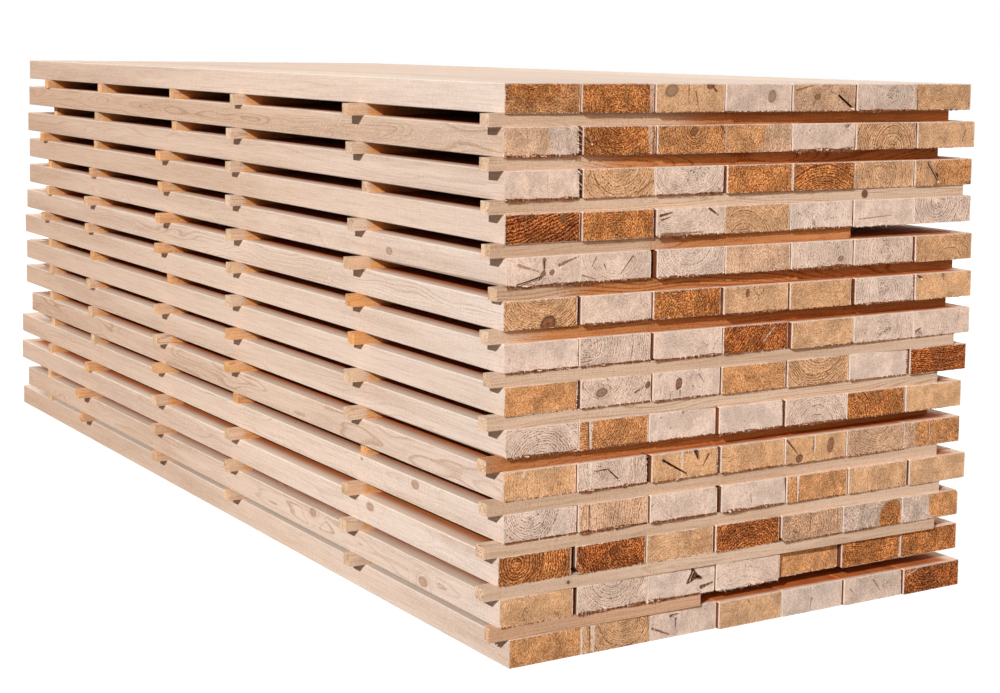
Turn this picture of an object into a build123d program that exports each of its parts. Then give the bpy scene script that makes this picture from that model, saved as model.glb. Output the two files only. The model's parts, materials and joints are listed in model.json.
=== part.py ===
from build123d import *
import math
import os

os.makedirs("parts", exist_ok=True)

# All sizes are in millimetres. X runs across the boards from the left side to the right,
# Y runs back along them from the sawn ends in front, and Z runs up from the ground.
# Rows, gaps, boards and columns are counted from 1: rows and gaps from the top down,
# boards from the left, and columns of stickers from the front.

# The boards
board_width = 150
board_thickness = 50
board_length = 2560
board_gap = 1
board_arris = 1.5
far_end_spread = 45
end_out_of_square = 3
boards_in_row = 7
rows = 14

# The stickers, which are the thin laths laid across each row to keep the air moving
sticker_width = 28
sticker_thickness = 22
sticker_stop_short = 50

# Where the front edge of each column of stickers lies, as a share of the board length
sticker_stations = (0, 0.197, 0.42, 0.58, 0.782, 0.916)

# The log that each waney board was sawn from
log_radius = 160
wane_length = 1500

# Splits in the sawn ends
split_depth = 60

row_width = boards_in_row * board_width + (boards_in_row - 1) * board_gap
row_pitch = board_thickness + sticker_thickness
left_face = -row_width / 2
front_face = -board_length / 2

# How far each row was pushed to the right of its place, from the top row down
row_shift = (-7, -9, -5, -3, 0, -3, -1, 1, 4, 1, 3, -6, -2, 18)

# How much wider or narrower than its nominal width each row's boards were sawn
row_wider = (1, 2, 0.5, 1, -0.5, -1, 0.5, -1, -2.5, -2, -1, -1.5, 0, -2)

# How much longer than its nominal length the left-hand board of each row is. The others
# end level with it or a little short of it.
row_longer = (-60, -60, -35, -40, -30, -15, 10, 5, 20, -40, 55, 30, -12, 98)

# How far each board's near end stands out in front of its row, by eye, from the left
end_steps = (
    (0, 1, 3, 3, 3, 4, -7),
    (0, 1, 3, -2, -2, -3, -4),
    (0, 0, -1, 2, 1, -3, -2),
    (0, 3, 3, -1, -3, -3, -4),
    (0, -3, 1, 1, 2, 2, 4),
    (0, 0, 2, 8, 10, 12, 12),
    (0, 0, 4, 5, 13, 11, 9),
    (0, 1, 3, 4, 5, 5, 6),
    (0, 0, -1, 6, 8, 7, 6),
    (0, 2, 4, 5, 5, 4, 0),
    (0, 2, 5, 6, 6, 6, 7),
    (0, 0, 1, 4, 8, 7, 7),
    (0, 0, -2, 0, -13, -4, -5),
    (0, -2, -5, 1, -1, 1, 3),
)

# How much wider than the named gap each gap between two boards of a row is, by eye
gap_wider = (
    (0, 0, 0, 1, 1, 0),
    (5, 0, 0, 0, 1, 2),
    (5, 0, 3, 0, 0, 0),
    (0, 3, 0, 1, 1, 0),
    (0, 8, 0, 0, 1, 2),
    (5, 0, 0, 1, 5, 1),
    (0, 2, 0, 0, 0, 0),
    (3, 0, 1, 1, 0, 2),
    (0, 0, 1, 3, 0, 1),
    (0, 6, 3, 0, 1, 0),
    (0, 0, 7, 1, 1, 3),
    (7, 0, 1, 0, 1, 0),
    (6, 0, 0, 0, 0, 0),
    (0, 0, 0, 0, 1, 1),
)

# Boards sawn thinner than the rest of their row, as (row, board): how much
thin_boards = {(13, 5): 5}

# Waney boards, as (row, board): side of the corner, top or bottom of it, depth of the wane
waney_boards = {
    (2, 7): (1, 1, 3),
    (5, 1): (-1, -1, 4),
    (9, 1): (-1, -1, 3),
    (12, 2): (-1, -1, 9),
    (12, 5): (-1, -1, 7),
    (12, 7): (1, 1, 5),
}

# Splits in the near ends, as (row, board): (start, end, width at the mouth), where start
# and end are shares of the board's width and thickness from its lower left corner
end_splits = {
    (1, 5): [((0.72, 0.60), (0.98, 0.06), 5)],
    (1, 7): [((0.34, 0.90), (0.40, 0.62), 2)],
    (2, 2): [((0.03, 0.62), (0.13, 0.38), 3)],
    (2, 6): [((0.54, 0.92), (0.57, 0.52), 2)],
    (2, 7): [((0.85, 0.72), (0.78, 0.20), 2)],
    (3, 7): [((0.22, 0.88), (0.42, 0.12), 4)],
    (5, 1): [((0.14, 0.07), (0.44, 0.26), 3), ((0.52, 0.54), (0.52, 0.84), 3)],
    (5, 2): [((0.58, 0.25), (0.74, 0.80), 3)],
    (6, 7): [((0.06, 0.90), (0.12, 0.78), 4)],
    (10, 2): [((0.27, 0.66), (0.43, 0.66), 2), ((0.45, 0.62), (0.60, 0.24), 2)],
    (10, 3): [((0.16, 0.76), (0.54, 0.14), 3), ((0.66, 0.92), (0.70, 0.62), 3)],
    (10, 7): [((0.44, 0.92), (0.45, 0.08), 2)],
    (11, 4): [((0.45, 0.55), (0.47, 0.20), 2)],
    (13, 3): [((0.60, 0.50), (0.67, 0.88), 5), ((0.70, 0.64), (0.80, 0.54), 5)],
    (14, 3): [((0.31, 0.78), (0.42, 0.80), 3), ((0.38, 0.64), (0.38, 0.28), 3)],
    (14, 5): [((0.46, 0.10), (0.49, 0.50), 2)],
}

# How far each sticker hangs out past the row under it on the left, by eye, from the front
overhang_as_laid = (
    (25, 31, 16, 0, 0, 5),
    (30, 25, 25, 0, 0, -21),
    (28, -3, 22, 22, -3, 12),
    (29, 25, 25, 20, 10, -6),
    (12, 32, 27, 27, 22, 7),
    (26, 24, 24, 24, 14, 14),
    (23, 21, 26, 0, 0, 0),
    (34, 29, 29, 29, 14, 4),
    (29, 26, 26, 26, 6, 0),
    (31, -12, 0, 23, 3, -7),
    (26, 24, 24, 24, 9, 0),
    (31, 28, 23, 23, 32, -2),
    (40, 33, 28, 28, 28, 3),
)

# How far back each sticker was laid from its column's station, by eye, from the front
laid_back = (
    (4, -10, -25, -50, -85, -25),
    (2, -5, -15, -55, -50, -10),
    (5, -15, 0, -5, -30, 15),
    (3, -5, 0, -5, -20, 10),
    (2, -10, -15, -15, -25, -15),
    (8, 0, -5, 5, 0, 10),
    (4, 0, 0, -10, 5, 0),
    (4, 5, 0, 10, 5, -5),
    (8, 5, 5, 15, 5, -10),
    (2, 10, 20, 35, 0, 5),
    (3, 0, -10, 10, 5, -15),
    (2, 10, 5, 30, 25, 10),
    (2, 20, 35, 60, 70, 50),
)

# How much farther back the right end of each front sticker lies than its left end
front_askew = (30, 44, 3, 17, 32, 18, -10, -4, 40, 0, -5, -5, -2)

# How far each front sticker's right end is from where the rest of them stop
front_right_end = (19, 6, 38, 0, 44, 21, 14, -20, 3, -13, -7, -18, 0)

# Front stickers cut short, as gap: share of the row width that they reach across
short_stickers = {4: 0.725, 13: 0.40}


# Heights of the rows and gaps above the ground
def row_base(row):
    return (rows - row) * row_pitch


def gap_base(gap):
    return row_base(gap + 1) + board_thickness


# Width that this row's boards were sawn to
def width_in(row):
    return board_width + row_wider[row - 1]


# Left face of one board
def board_left(row, board):
    left = left_face + row_shift[row - 1]
    for before in range(1, board):
        left += width_in(row) + board_gap + gap_wider[row - 1][before - 1]
    return left


# Irregular small steps for what the photo doesn't show, from -1 to 1
def uneven(first, second):
    return ((5 * first + 3 * second + first * second) % 7 - 3) / 3


# The plain sawn board, standing on its place, with its sharp long edges worn off
def sawn_board(row, board):
    width = width_in(row)
    thickness = board_thickness - thin_boards.get((row, board), 0)
    near = front_face - end_steps[row - 1][board - 1]
    far = front_face + board_length + row_longer[row - 1]
    if board > 1:
        far -= far_end_spread * (1 + uneven(row, board)) / 2
    left = board_left(row, board)
    right = left + width
    with BuildPart() as sawn:
        with BuildSketch(Plane.XY.offset(row_base(row))):
            with BuildLine():
                Polyline(
                    (left, near),
                    (right, near + end_out_of_square),
                    (right, far),
                    (left, far),
                    close=True,
                )
            make_face()
        extrude(amount=thickness)
        chamfer(sawn.edges().filter_by(Axis.Y), board_arris)
        if (row, board) in waney_boards:
            side, upper, depth = waney_boards[(row, board)]
            corner_x = (left + right) / 2 + side * width / 2
            corner_z = row_base(row) + thickness / 2 + upper * thickness / 2
            reach = (log_radius + depth) * math.sqrt(0.5)
            middle_x = corner_x - side * reach
            middle_z = corner_z - upper * reach
            # The log runs out past the corner with its length, so the wane fades away
            fade = depth / wane_length
            along = Vector(side * fade, 1, upper * fade)
            start = Vector(middle_x, near, middle_z)
            with Locations(Plane(origin=start + along * board_length / 2, z_dir=along)):
                Cylinder(log_radius, board_length * 1.2, mode=Mode.INTERSECT)
        # Each split is a thin wedge, widest at the sawn end and closed inside the board
        for start, end, mouth in end_splits.get((row, board), []):
            first = Vector(left + start[0] * width, row_base(row) + start[1] * thickness)
            last = Vector(left + end[0] * width, row_base(row) + end[1] * thickness)
            run = last - first
            turn = math.degrees(math.atan2(run.Y, run.X))
            middle = (first + last) / 2
            mouth_plane = Plane(origin=(0, near, 0), x_dir=(1, 0, 0), z_dir=(0, -1, 0))
            with BuildSketch(mouth_plane):
                with Locations(Location((middle.X, middle.Y, 0), (0, 0, turn))):
                    Rectangle(run.length, mouth)
            with BuildSketch(mouth_plane.offset(-split_depth)):
                with Locations(Location((middle.X, middle.Y, 0), (0, 0, turn))):
                    Rectangle(run.length / 3, mouth / 8)
            loft(mode=Mode.SUBTRACT)
    return sawn.part


# One sticker, laid across the row under its gap
def sticker(gap, column):
    left = left_face + row_shift[gap] - overhang_as_laid[gap - 1][column - 1]
    right = -left_face - sticker_stop_short
    front = front_face + sticker_stations[column - 1] * board_length
    front += laid_back[gap - 1][column - 1]
    turn = 0
    if column == 1:
        right += front_right_end[gap - 1]
        if gap in short_stickers:
            right = left_face + short_stickers[gap] * row_width
        turn = math.degrees(math.atan2(front_askew[gap - 1], row_width))
    else:
        right += 20 * uneven(gap, column)
    with BuildPart() as lath:
        with BuildSketch(Plane.XY.offset(gap_base(gap))):
            with Locations(Location((left, front, 0), (0, 0, turn))):
                Rectangle(right - left, sticker_width, align=(Align.MIN, Align.MIN))
            if (gap, column) == (13, 1):
                # The bottom front lath was broken off on the left and sawn askew on the right
                with BuildLine():
                    Polyline(
                        (left, front),
                        (left + 6, front + sticker_width * 0.15),
                        (left + 2, front + sticker_width * 0.35),
                        (left + 11, front + sticker_width * 0.5),
                        (left + 4, front + sticker_width * 0.7),
                        (left + 14, front + sticker_width * 0.85),
                        (left + 9, front + sticker_width),
                        (left - 1, front + sticker_width),
                        (left - 1, front),
                        close=True,
                    )
                make_face(mode=Mode.SUBTRACT)
                with BuildLine():
                    Polyline(
                        (right + 1, front - 1),
                        (right + 1, front + sticker_width + 1),
                        (right - 10, front + sticker_width + 1),
                        close=True,
                    )
                make_face(mode=Mode.SUBTRACT)
        extrude(amount=sticker_thickness)
    return lath.part


# The rows of boards, each saved as one piece of like boards that don't touch
for row in range(1, rows + 1):
    boards = [sawn_board(row, board) for board in range(1, boards_in_row + 1)]
    with BuildPart() as board_row:
        for board in boards:
            add(board)
    board_row.part.label = f"boards_row_{row:02d}"
    export_step(board_row.part, f"parts/boards_row_{row:02d}.step")

# The stickers of each gap, saved the same way
for gap in range(1, rows):
    laths = [sticker(gap, column) for column in range(1, len(sticker_stations) + 1)]
    with BuildPart() as sticker_row:
        for lath in laths:
            add(lath)
    sticker_row.part.label = f"stickers_gap_{gap:02d}"
    export_step(sticker_row.part, f"parts/stickers_gap_{gap:02d}.step")
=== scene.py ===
import json
import math
import random

import bpy
from mathutils import Matrix, Vector, noise

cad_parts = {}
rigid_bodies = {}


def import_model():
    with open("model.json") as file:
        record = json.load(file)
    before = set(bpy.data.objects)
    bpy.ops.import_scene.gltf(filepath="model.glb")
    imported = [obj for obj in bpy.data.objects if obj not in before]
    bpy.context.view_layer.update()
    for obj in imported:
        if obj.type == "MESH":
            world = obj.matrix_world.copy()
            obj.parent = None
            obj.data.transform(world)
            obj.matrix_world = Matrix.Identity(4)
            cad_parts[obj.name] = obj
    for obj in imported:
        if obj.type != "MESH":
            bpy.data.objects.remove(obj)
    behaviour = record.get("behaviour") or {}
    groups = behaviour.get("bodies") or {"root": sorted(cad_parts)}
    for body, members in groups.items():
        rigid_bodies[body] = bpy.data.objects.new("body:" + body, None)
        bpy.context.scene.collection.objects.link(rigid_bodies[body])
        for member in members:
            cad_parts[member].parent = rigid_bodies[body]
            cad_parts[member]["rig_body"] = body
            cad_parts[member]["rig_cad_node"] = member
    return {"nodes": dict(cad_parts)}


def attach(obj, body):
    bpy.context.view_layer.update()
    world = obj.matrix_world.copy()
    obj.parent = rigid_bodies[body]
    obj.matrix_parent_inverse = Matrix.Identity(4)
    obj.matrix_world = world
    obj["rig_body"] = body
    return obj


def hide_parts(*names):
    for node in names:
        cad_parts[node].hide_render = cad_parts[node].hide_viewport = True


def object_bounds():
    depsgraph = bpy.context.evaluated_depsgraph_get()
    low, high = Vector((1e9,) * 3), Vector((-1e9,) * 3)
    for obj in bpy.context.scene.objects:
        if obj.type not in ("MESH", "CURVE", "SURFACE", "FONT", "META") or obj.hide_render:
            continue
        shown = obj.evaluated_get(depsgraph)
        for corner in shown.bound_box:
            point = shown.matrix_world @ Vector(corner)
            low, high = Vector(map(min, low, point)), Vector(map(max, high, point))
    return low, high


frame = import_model()
cad_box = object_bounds()

# Sizes of the stack, in metres. Rows and gaps are counted from the top down, boards from
# the left, and columns of stickers from the front. The near ends stand about FRONT, each
# with its right-hand corner END_SKEW behind its left one. MM turns metres to millimetres.
ROWS = 14
BOARD_THICKNESS = 0.05
STICKER_THICKNESS = 0.022
PITCH = BOARD_THICKNESS + STICKER_THICKNESS
FRONT = -1.28
END_SKEW = 0.003
MM = 1000.0

# What each sawn end looks like, row by row from the top and from left to right. The letter
# is the wood: P pale sapwood, Q pale going tan, T tan, U tan going orange, O orange
# heartwood, R dark red heartwood. After it come the pith, as shares of the board's width
# and thickness from its lower left corner, and how strongly its growth rings show. Where
# the heart ends inside the board, its radius in millimetres and the wood outside it follow.
ENDS = (
    "O:.4,1.7,3,66,U O:.5,-.4,4 T:.4,1.3,1 P:.4,-2,1 Q:.48,1,2 P:.6,.6,3 T:.4,1.4,2",
    "Q:.15,.6,1,72,P O:.5,1.15,7 U:.55,.9,5 U:.1,.8,2,75,Q P:.5,1.6,2 T:.6,0,6 T:.1,1.8,1",
    "P:.6,1.4,1 T:.5,1.2,4 P:.5,1.4,3 O:.5,.4,3 O:.5,-1.6,9 T:.42,.45,4 U:.9,.2,4,88,T",
    "R:-.4,8,9 O:.46,-.05,4 P:.3,2,2 T:.3,-.3,4 P:.4,.2,2 P:.5,2,1 P:.4,.85,4",
    "P:.54,.42,1 P:.5,1.2,2 P:.5,1.3,3 Q:.6,.3,2 P:.6,.5,3 P:.55,.5,4 T:.6,-.15,4",
    "T:.5,1.6,6 P:.3,-.4,2 O:.34,.1,6 T:.35,1.5,2 T:.4,-.6,2 P:.6,.5,3 T:.5,1.6,1",
    "P:.4,1.8,1 P:.1,.7,4 P:.4,-2,1 R:-1.1,3.9,8 T:.5,1.4,2 P:.55,.5,3 P:.1,.2,2",
    "U:.5,-1.5,1 P:.3,1.2,3 P:.4,1.6,1 U:.9,1.2,2 T:.5,1.6,6 P:.3,-.9,1 R:.5,6,7",
    "P:.5,-.5,4 U:.1,1.3,5 P:.5,1.5,1 P:.5,-2,1 P:.5,-.2,4 O:.1,.3,7 T:.5,-3,0",
    "T:-2,.5,2 P:.45,.7,3 T:.4,.9,1 T:.1,1.3,2 T:.5,-1,1 Q:.5,1.5,4 U:1,.5,4,118,Q",
    "P:.35,1.1,4 Q:1.2,.3,4 P:.5,2,1 P:.5,1.8,1 U:.7,.2,2 T:1.1,.2,2 T:.4,-1,1",
    "O:.245,.68,9 R:.75,1,6 T:.4,-1,2 R:.5,-.6,5 Q:.2,.4,6 O:.84,.3,2,33,P U:1.1,.6,2,92,P",
    "T:.3,.6,1 P:.5,1.3,4 P:.4,1.5,1 P:.4,-1.2,2 U:.7,.2,1 O:.5,7,5 O:.36,1.25,6",
    "U:.6,.5,1 T:.6,1.1,4 P:.3,1.2,1 T:.2,1.9,1 P:.4,1.4,1 P:.5,.4,2 R:.4,1.5,5",
)

# Marks in the sawn ends, as (row, board): (across, up, across, up, width, strength) of each
# line, in shares of the board and millimetres. A strength below zero is a pale line.
END_MARKS = {
    (1, 2): ((.965, 1, .965, 0, 7, -.3),),
    (1, 3): ((.87, .75, .8, .95, 3, .9), (.47, 1, .47, .3, 1.5, .8), (.57, .72, .63, .03, 1.5, .8)),
    (1, 5): ((.04, .76, .32, .95, 2, .7), (.32, .26, .43, .66, 3, .5), (.6, .72, .72, .6, 1.5, .7)),
    (1, 7): ((.17, .85, .1, .5, 3, .4),),
    (2, 2): ((.92, 1, .94, 0, 9, -.3), (0, .65, .13, .38, 2.5, .9)),
    (2, 3): ((.08, .9, .14, .97, 3, .7), (.92, .97, .98, .7, 3, .8)),
    (3, 1): ((.57, .9, .57, .3, 1.5, .4),),
    (3, 2): ((.07, .74, .1, .9, 2.5, .6), (.16, .65, .22, .35, 2.5, .6), (.75, .1, .98, .55, 4, .5)),
    (3, 6): ((.2, .62, .25, .62, 2, .6),),
    (3, 7): ((.22, .9, .42, .1, 5, .5), (.38, .4, .38, .25, 6, .9)),
    (4, 1): ((.77, .75, .8, .95, 9, .6),),
    (4, 3): ((.05, .75, .22, .85, 3.5, .8), (.07, .6, .2, .7, 2.5, .7),
             (.77, .93, .9, .68, 3.5, .8), (.07, .08, .68, .12, 4, .6)),
    (4, 6): ((.09, .29, .63, .38, 1.5, .6),),
    (5, 1): ((.515, .86, .515, .5, 6, .6), (.47, .28, .09, 0, 4, .8),
             (.17, .73, .45, .48, 4, .5), (.72, .67, .98, .92, 4, .6)),
    (5, 2): ((.22, .86, .16, .55, 2, .7), (.33, .6, .36, .42, 2, .7),
             (.74, .8, .58, .25, 4, .6), (.03, .27, .22, .1, 2, .6)),
    (6, 5): ((.5, .6, .9, .5, 3, .3),),
    (6, 7): ((.04, .97, .12, .82, 4, .9), (.48, .97, .5, .72, 3, .6)),
    (7, 2): ((.13, .7, .28, .9, 2, .5),),
    (7, 4): ((.62, .35, .8, .9, 2, -.5), (.3, .1, .5, .6, 2, .6)),
    (7, 7): ((.05, .25, .14, .35, 3, .6),),
    (8, 2): ((.77, .38, .9, .55, 2.5, .7), (.02, .7, .03, .95, 3, .5)),
    (8, 3): ((.4, .3, .4, .1, 2, .7), (.68, .83, .76, .5, 1.5, .6)),
    (8, 4): ((.35, .6, .38, .5, 2, .6),),
    (9, 2): ((.13, 1, .13, 0, 2, .8), (.165, 1, .165, 0, 6, -.6)),
    (9, 3): ((.32, .42, .325, .42, 2.5, .8),),
    (10, 1): ((.27, .8, .3, .98, 3, -.5),),
    (10, 2): ((.18, 1, .18, 0, 5, -.5), (.43, .68, .23, .66, 2, .8),
              (.43, .66, .6, .22, 2, .8), (.82, .95, .82, .1, 1.5, .5)),
    (10, 3): ((.16, .76, .54, .12, 3.5, .8), (.65, .99, .7, .62, 7, .9),
              (.85, .76, .77, .38, 3, .8), (.45, 1, .45, 0, 5, -.4)),
    (10, 5): ((.03, .9, .2, .37, 3, .8), (.465, .95, .465, .35, 2, .9), (.485, .95, .485, .3, 3, -.6)),
    (11, 2): ((.15, 1, .15, 0, 2, .8),),
    (11, 5): ((.16, 1, .16, 0, 1.5, .7), (.18, 1, .18, 0, 4, -.7), (.72, .9, .8, .3, 7, .4)),
    (12, 2): ((.11, .33, .12, .3, 4, .9),),
    (12, 3): ((.75, .5, .98, .6, 5, .3), (.7, .25, .97, .3, 4, .3)),
    (12, 5): ((.47, 1, .47, 0, 2, .6),),
    (13, 3): ((.69, .68, .66, .97, 9, .95), (.69, .68, .59, .47, 10, .95),
              (.69, .68, .8, .55, 8, .95), (.8, .22, .97, .32, 5, .8)),
    (13, 4): ((.45, .8, .44, .5, 1.5, .4),),
    (14, 2): ((.11, 1, .11, 0, 2, .7), (.16, 1, .16, 0, 8, -.4)),
    (14, 3): ((.3, .78, .42, .8, 4, .8), (.38, .65, .38, .25, 3, .8), (.02, .45, .28, .12, 3, .7)),
    (14, 4): ((.45, .9, .5, .7, 2, .6),),
    (14, 5): ((.49, .5, .46, .08, 2.5, .7),),
    (14, 6): ((.1, .6, .16, .45, 2, .6), (.5, .8, .62, .35, 2.5, .6)),
    (14, 7): ((.06, .75, .25, .95, 2.5, -.5),),
}

# Knots in the sawn ends, as (row, board): (across, up, radius, height to width, tone), the
# radius in millimetres and the tone from 0 grey brown to 1 dark red
END_KNOTS = {
    (1, 3): ((.22, .76, 14, .8, .1), (.79, .92, 8, .7, .9)),
    (1, 4): ((.7, .55, 9, 1.3, .05),),
    (1, 5): ((.385, .53, 7, .8, .5),),
    (2, 3): ((.52, .77, 8, 1, .7),),
    (2, 5): ((.87, .9, 5, .8, .2),),
    (5, 1): ((.5, .4, 5, 1, .7), (.62, .43, 5, 1, .7)),
    (5, 5): ((.8, .3, 7, .8, .2),),
    (6, 1): ((.6, .15, 15, .9, .9),),
    (6, 4): ((.36, .72, 4, 1.9, .9),),
    (8, 2): ((.29, .5, 12, .65, .3), (.955, .6, 6, 1, .9)),
    (8, 3): ((.38, .55, 7, 1.5, .9),),
    (10, 5): ((.23, .18, 8, 1, .9), (.745, .55, 8, 1.8, .5)),
    (12, 2): ((.54, .65, 10, .8, 1.0),),
}

# How torn the lower edge and the right-hand edge of each sawn end are, from 0 to 9
TORN_BELOW = (
    "0212162", "6210811", "8151100", "0051554", "7552630", "1415141", "6662211",
    "0331120", "6225621", "1722110", "6666210", "1200230", "1788210", "1011111",
)
TORN_RIGHT = (
    "0010160", "7010320", "6030100", "1310300", "1530120", "4321440", "4201210",
    "5110050", "1105400", "0551110", "1263010", "5100410", "5005110", "1010130",
)

# How strongly the growth figure shows on the left side of each row, from 0 to 9, and the
# knots there, as row: (millimetres back from the front, millimetres up, radius)
SIDE_FIGURE = (1, 5, 2, 1, 2, 4, 1, 2, 2, 6, 3, 2, 8, 1)
SIDE_KNOTS = {
    2: ((622, 12, 0),),
    5: ((407, 21, 7),),
    6: ((643, 40, 0),),
    11: ((305, 38, 8), (514, 44, 3)),
    12: ((462, 36, 8),),
    13: ((714, 40, 8), (263, 14, 9)),
}

# How tan the left side of each row has weathered, from 0 to 9
SIDE_TAN = (1, 7, 3, 4, 2, 0, 2, 2, 2, 4, 1, 0, 2, 3)

# How orange the weathered end of each sticker still is, from 0 to 9, column by column
STICKER_WARMTH = (
    "132667", "211655", "122768", "211668", "343756", "194755", "292886",
    "137545", "227345", "288745", "243375", "124475", "524565",
)

# Where each front sticker turns from weathered to fresh wood, which is darkened as painted
# shade where the boards above shade it, as a share of the row width. Past 1 it is
# weathered all along.
FRESH_AND_SHADE_FROM = (0.36, 0.18, 2, 0.3, 0.12, 0.04, 2, 2, -0.05, 2, 2, 2, 0.5)

# Knots in the front stickers, as (across, up, radius) in millimetres
LATH_KNOTS = {3: (262.0, 781.0, 8.0), 12: (-392.0, 133.0, 3.5)}


# Random draws are seeded by what they are for, so that no piece disturbs another
def draws(*what):
    return random.Random("-".join(str(w) for w in what))


def row_base(row):
    return (ROWS - row) * PITCH


# Materials. A worked value is what a node puts out. Arithmetic with it adds nodes to its
# tree, and the helpers below add the other kinds.
class Worked:
    def __init__(self, tree, socket):
        self.tree = tree
        self.socket = socket

    def __add__(self, other):
        return calc("ADD", self, other)

    def __sub__(self, other):
        return calc("SUBTRACT", self, other)

    def __rsub__(self, other):
        return calc("SUBTRACT", other, self)

    def __mul__(self, other):
        return calc("MULTIPLY", self, other)

    def __truediv__(self, other):
        return calc("DIVIDE", self, other)


def put(tree, kind, sockets=None, **settings):
    made = tree.nodes.new(kind)
    for name, setting in settings.items():
        setattr(made, name, setting)
    for socket, value in (sockets or {}).items():
        if isinstance(value, Worked):
            tree.links.new(value.socket, made.inputs[socket])
        else:
            made.inputs[socket].default_value = value
    return made


def result(tree, kind, sockets=None, which=0, **settings):
    return Worked(tree, put(tree, kind, sockets, **settings).outputs[which])


def work(kind, sockets, which=0, **settings):
    tree = next(value.tree for value in sockets.values() if isinstance(value, Worked))
    return result(tree, kind, sockets, which, **settings)


def calc(operation, *values):
    return work("ShaderNodeMath", dict(enumerate(values)), operation=operation)


def lesser(first, second):
    return calc("MINIMUM", first, second)


def greater(first, second):
    return calc("MAXIMUM", first, second)


def limited(value):
    return work("ShaderNodeClamp", {0: value})


# A cloud's value about its middle, as a swing to either side
def swing(value, size):
    return (value - 0.5) * size


def vector(operation, first, second=(0, 0, 0), which=0):
    return work("ShaderNodeVectorMath", {0: first, 1: second}, which, operation=operation)


def length(value):
    return vector("LENGTH", value, which="Value")


def dot(first, second):
    return vector("DOT_PRODUCT", first, second, "Value")


def between(value, low, high, to_low=0.0, to_high=1.0):
    sockets = {"Value": value, "From Min": low, "From Max": high, "To Min": to_low, "To Max": to_high}
    return work("ShaderNodeMapRange", sockets, interpolation_type="SMOOTHSTEP")


def fading(value, low, high, most=1.0):
    return between(value, low, high, most, 0.0)


def blended(share, first, second, how="MIX"):
    first, second = (c if isinstance(c, Worked) else (*c, 1.0) for c in (first, second))
    sockets = {0: share, 6: first, 7: second}
    return work("ShaderNodeMix", sockets, 2, data_type="RGBA", blend_type=how)


def cloud(place, scale, detail=2.0, rough=0.5):
    sockets = {"Vector": place, "Scale": scale, "Detail": detail, "Roughness": rough}
    return work("ShaderNodeTexNoise", sockets)


def parted(value):
    made = put(value.tree, "ShaderNodeSeparateXYZ", {0: value})
    return [Worked(value.tree, socket) for socket in made.outputs]


def joined(x=0.0, y=0.0, z=0.0):
    return work("ShaderNodeCombineXYZ", {0: x, 1: y, 2: z})


# What a board or sticker is told: three numbers, or only one
def told(tree, name):
    return parted(result(tree, "ShaderNodeAttribute", which="Vector", attribute_name=name))


def told_one(tree, name):
    return result(tree, "ShaderNodeAttribute", which="Fac", attribute_name=name)


def ramp(value, stops):
    made = put(value.tree, "ShaderNodeValToRGB", {0: value})
    slots = made.color_ramp.elements
    while len(slots) < len(stops):
        slots.new(0.5)
    for slot, (place, colour) in zip(slots, stops):
        slot.position = place
        slot.color = (*colour, 1.0)
    return Worked(value.tree, made.outputs[0])


def new_material(name):
    material = bpy.data.materials.new(name)
    material.use_nodes = True
    tree = material.node_tree
    tree.nodes.clear()
    return material, tree


# All the wood is dry and rough. The relief is how deep its grain goes, in metres.
ROUGHNESS = 0.85
SHINE = 0.2
END_RELIEF = 0.0012
FACE_RELIEF = 0.0008
FIBRE_RELIEF = 0.0003


def finish_material(tree, colour, height, relief):
    shader = result(tree, "ShaderNodeBsdfPrincipled", {
        "Base Color": colour,
        "Roughness": ROUGHNESS,
        "Specular IOR Level": SHINE,
        "Normal": work("ShaderNodeBump", {"Height": height, "Distance": relief, "Strength": 1.0}),
    })
    put(tree, "ShaderNodeOutputMaterial", {0: shader})


def object_place(tree):
    return result(tree, "ShaderNodeTexCoord", which="Object")


def millimetres(tree):
    return vector("MULTIPLY", object_place(tree), (MM, MM, MM))


# Distance from the pith, counted in growth rings, and measured in millimetres, and the way
# out from it. Each board carries its pith as (across, up, ring width), in millimetres, and
# its log ran along one axis.
def ring_count(place, along, wander, seed):
    pith = told(place.tree, "pith")
    if along == "X":
        centre = joined(y=pith[0], z=pith[1])
        keep = (0.0, 1.0, 1.0)
    else:
        centre = joined(x=pith[0], z=pith[1])
        keep = (1.0, 0.0, 1.0)
    out = vector("MULTIPLY", vector("SUBTRACT", place, centre), keep)
    radius = length(out) + wander
    rings = radius / pith[2]
    # Wide and narrow years follow each other
    years = cloud(joined(rings * 0.4, seed), 1.0, 1.0)
    return rings + years * 1.6, radius, out


# The late wood of each ring: a slow darkening, then a sharp edge
def late_wood(rings, seed):
    part = calc("FRACT", rings)
    year = calc("FLOOR", rings) * 3.7
    strength = between(cloud(joined(year, seed), 1.0, 0.0), 0.3, 0.65, 0.35, 1.0)
    return between(part, 0.3, 0.84) * fading(part, 0.9, 1.0) * strength


# The colours of the woods, from pale sapwood to dark red heartwood, as
# (tone, light, middle, dark)
WOODS = (
    (0.00, (0.9, 0.775, 0.69), (0.69, 0.54, 0.44), (0.3, 0.17, 0.1)),
    (0.28, (0.93, 0.68, 0.49), (0.69, 0.42, 0.245), (0.29, 0.12, 0.048)),
    (0.48, (0.9, 0.61, 0.365), (0.64, 0.36, 0.18), (0.28, 0.1, 0.032)),
    (0.62, (0.93, 0.54, 0.27), (0.64, 0.29, 0.102), (0.24, 0.062, 0.015)),
    (0.78, (0.98, 0.52, 0.2), (0.72, 0.25, 0.06), (0.17, 0.032, 0.006)),
    (1.00, (0.97, 0.4, 0.12), (0.46, 0.1, 0.016), (0.07, 0.011, 0.002)),
)
CREAM = (0.97, 0.87, 0.77)
DARK_SPLIT = (0.07, 0.026, 0.01)
SPLIT_RIM = (0.4, 0.19, 0.085)

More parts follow.
